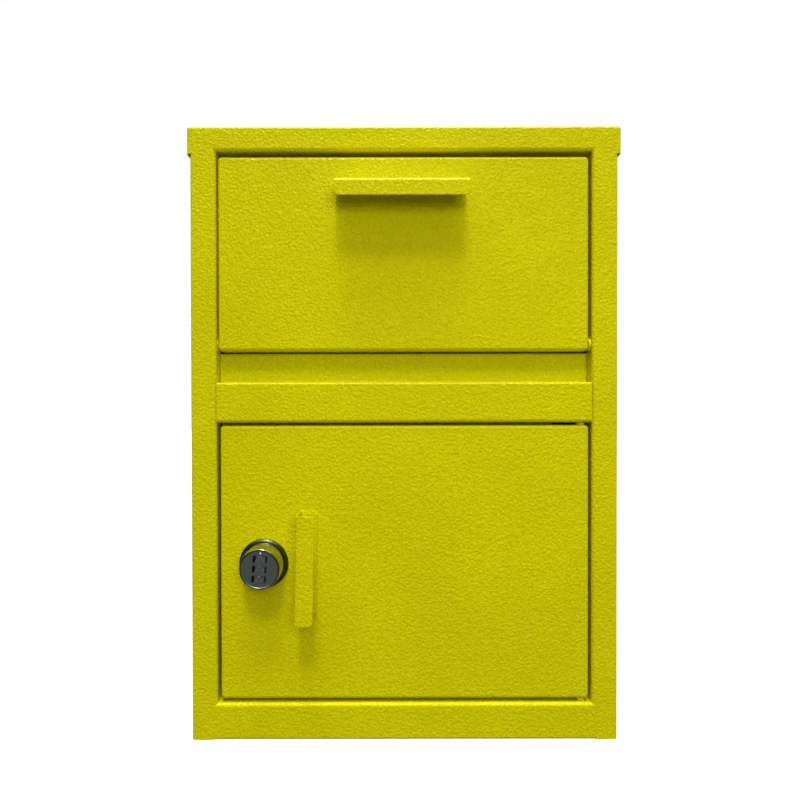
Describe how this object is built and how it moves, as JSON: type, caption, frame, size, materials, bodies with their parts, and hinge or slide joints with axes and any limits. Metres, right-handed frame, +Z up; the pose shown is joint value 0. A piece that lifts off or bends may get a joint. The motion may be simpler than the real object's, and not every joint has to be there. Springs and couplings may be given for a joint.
{
  "type": "parcel drop mailbox",
  "caption": "Sheet-steel drop box with a roof hood, a tilting hopper flap above and a right-hinged collection door below, locked by a combination cam lock.",
  "frame": {"origin": "centre of the four floor bolts, on the underside of the base", "axes": "+Z up, +Y out of the back towards the wall, +X to the right as seen from the front, so the doors face -Y"},
  "size_m": [0.3532, 0.276, 0.5],
  "materials": {
    "yellow_powder_coat": "satin powder coat with a fine orange-peel grain",
    "black_nickel": "black nickel plate, polished flank",
    "dial_metal": "satin plate with engraved numerals",
    "zinc_steel": "bright zinc plate",
    "black_rubber": "matt black rubber"
  },
  "bodies": {
    "cabinet": {"left_side_panel": "yellow_powder_coat", "right_side_panel": "yellow_powder_coat", "base_pan": "yellow_powder_coat", "back_panel": "yellow_powder_coat", "roof_hood": "yellow_powder_coat", "mid_rail": "yellow_powder_coat", "anti_theft_baffle": "yellow_powder_coat", "lock_strike": "zinc_steel", "flap_buffer_strip": "black_rubber", "door_buffer_strip": "black_rubber", "flap_pivot_pins": "zinc_steel", "flap_pivot_washers": "yellow_powder_coat", "door_hinge_pins": "zinc_steel", "door_hinge_washers": "yellow_powder_coat"},
    "flap": {"flap_panel": "yellow_powder_coat", "flap_handle": "yellow_powder_coat", "hopper_tray": "yellow_powder_coat", "left_hopper_cheek": "yellow_powder_coat", "right_hopper_cheek": "yellow_powder_coat"},
    "door": {"door_panel": "yellow_powder_coat", "door_handle": "yellow_powder_coat", "lock_housing": "black_nickel", "lock_washer": "zinc_steel", "lock_nut": "zinc_steel"},
    "lock_rotor": {"lock_knob": "black_nickel", "knob_back_plate": "black_nickel", "dial_axle": "zinc_steel", "lock_spindle": "zinc_steel", "lock_cam": "zinc_steel", "cam_washer": "zinc_steel", "cam_nut": "zinc_steel"},
    "dial_1": {"dial_wheel_1": "dial_metal"},
    "dial_2": {"dial_wheel_2": "dial_metal"},
    "dial_3": {"dial_wheel_3": "dial_metal"}
  },
  "joints": [
    {"name": "flap_hinge", "type": "hinge", "parent": "cabinet", "child": "flap", "pos_m": [0, -0.1174, 0.3231], "axis": [1, 0, 0], "range_deg": [0, 60]},
    {"name": "door_hinge", "type": "hinge", "parent": "cabinet", "child": "door", "pos_m": [0.1453, -0.1174, 0.145], "axis": [0, 0, 1], "range_deg": [0, 105]},
    {"name": "lock_turn", "type": "hinge", "parent": "door", "child": "lock_rotor", "pos_m": [-0.1148, -0.1265, 0.1444], "axis": [0, 1, 0], "range_deg": [0, 90]},
    {"name": "dial_1_spin", "type": "hinge", "parent": "lock_rotor", "child": "dial_1", "pos_m": [-0.1148, -0.1367, 0.1444], "axis": [0.0698, 0, 0.9976], "continuous": true},
    {"name": "dial_2_spin", "type": "hinge", "parent": "lock_rotor", "child": "dial_2", "pos_m": [-0.1148, -0.1367, 0.1444], "axis": [0.0698, 0, 0.9976], "continuous": true},
    {"name": "dial_3_spin", "type": "hinge", "parent": "lock_rotor", "child": "dial_3", "pos_m": [-0.1148, -0.1367, 0.1444], "axis": [0.0698, 0, 0.9976], "continuous": true}
  ]
}
